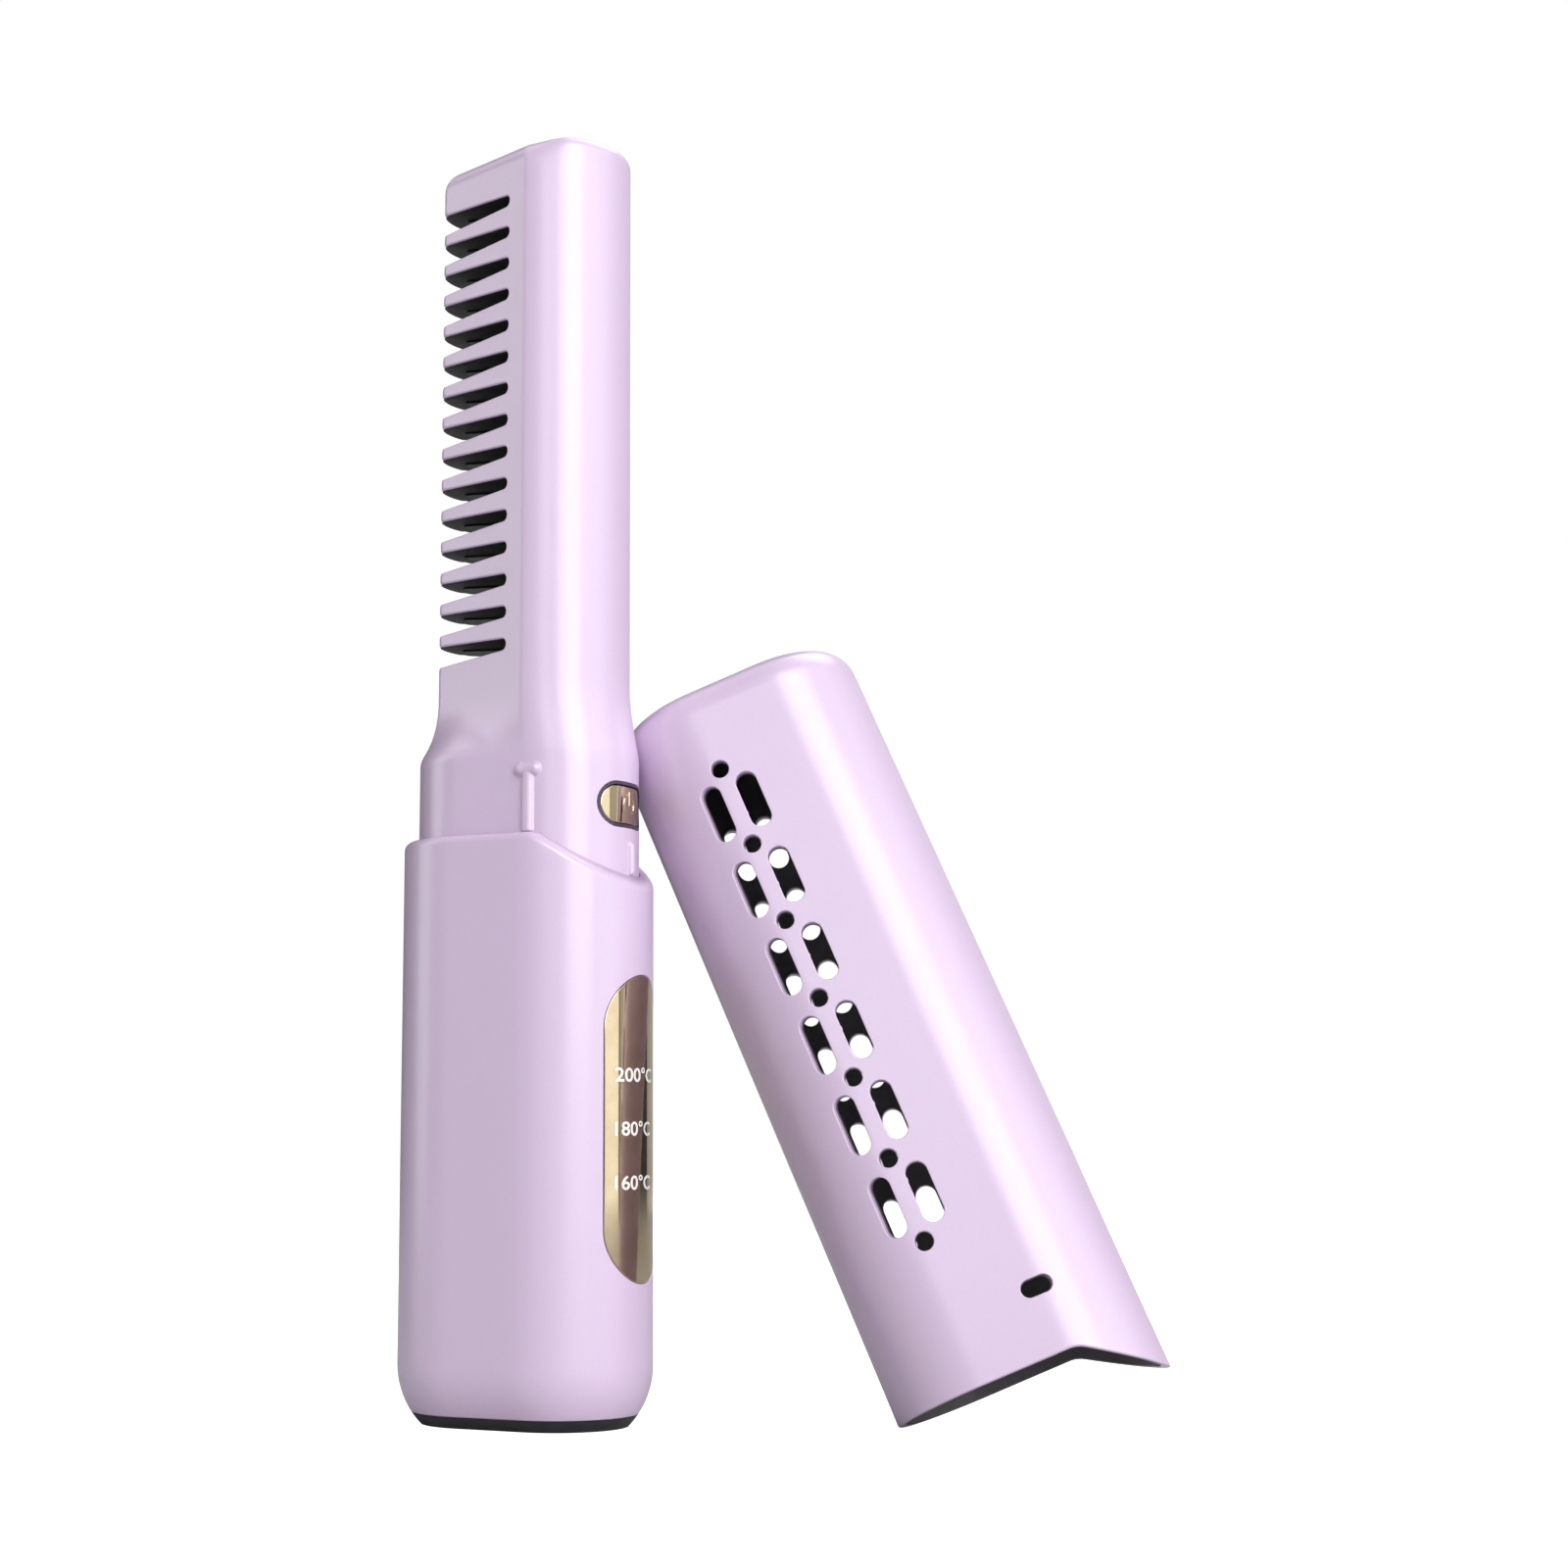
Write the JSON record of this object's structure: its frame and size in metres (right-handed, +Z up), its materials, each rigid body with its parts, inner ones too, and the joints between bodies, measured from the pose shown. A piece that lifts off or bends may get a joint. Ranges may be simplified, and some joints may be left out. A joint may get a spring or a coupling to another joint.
{
  "type": "cordless straightening comb",
  "caption": "Handheld cordless hot comb with heated teeth, gold window and power button, standing on its base beside its vented travel cap.",
  "frame": {"origin": "centre of the comb's flat underside, where it stands", "axes": "+Z up along the comb, +X towards its spine, power button and window, -X towards the teeth, -Y towards the face with the latch rib"},
  "size_m": [0.1129, 0.0541, 0.2],
  "materials": {
    "pearl_lilac": "moulded ABS with a pearl lilac lacquer",
    "black_nylon": "satin moulded heat-resistant nylon",
    "screw_steel": "zinc-plated",
    "white_nylon": "moulded",
    "cell_wrap": "shrink sleeve over a metal can",
    "nickel_strip": "rolled nickel strip",
    "board_laminate": "glass-fibre laminate with solder mask",
    "chip_black": "moulded epoxy",
    "ferrite_grey": "pressed ferrite",
    "lamp_white": "moulded lamp body",
    "gold_mirror": "vacuum-metallised gold mirror",
    "inlet_steel": "drawn stainless steel",
    "bezel_dark": "dark polished",
    "heated_aluminium": "black anodised",
    "polyimide_film": "amber insulating film",
    "electrode_brass": "rolled",
    "chip_ceramic": "fired ceramic",
    "fuse_can": "drawn can",
    "wire_silicone": "silicone sleeve",
    "wire_white": "smooth insulation",
    "cap_lining": "satin moulded heat-resistant lining"
  },
  "bodies": {
    "comb": {"handle_shell": "pearl_lilac", "base_cover": "black_nylon", "base_screws": "screw_steel", "chassis": "white_nylon", "battery_cell": "cell_wrap", "battery_tabs": "nickel_strip", "control_board": "board_laminate", "board_screws": "screw_steel", "mcu_chip": "chip_black", "power_mosfets": "chip_black", "inductor": "ferrite_grey", "temperature_leds": "lamp_white", "light_box": "white_nylon", "display_window": "gold_mirror", "usb_c_shell": "inlet_steel", "usb_c_tongue": "chip_black", "tact_switch": "chip_black", "button_bezel": "bezel_dark", "comb_shell_front": "pearl_lilac", "comb_shell_rear": "pearl_lilac", "shell_screws": "screw_steel", "comb_guard": "black_nylon", "heating_comb": "heated_aluminium", "heater_sleeve": "polyimide_film", "electrodes": "electrode_brass", "ptc_chips": "chip_ceramic", "thermal_fuse": "fuse_can", "thermistor": "chip_black", "heater_wires": "wire_silicone", "sensor_wires": "wire_white"},
    "button": {"power_button": "gold_mirror", "switch_plunger": "white_nylon"},
    "cap": {"cap_shell": "pearl_lilac", "cap_liner": "cap_lining"}
  },
  "joints": [
    {"name": "button_press", "type": "slide", "parent": "comb", "child": "button", "axis": [-1, 0, 0], "range_m": [0, 0.0005], "stiffness_N_per_m": 1500},
    {"name": "cap_lift", "type": "slide", "parent": "comb", "child": "cap", "axis": [0, 0, 1], "range_m": [0, 0.16]}
  ]
}
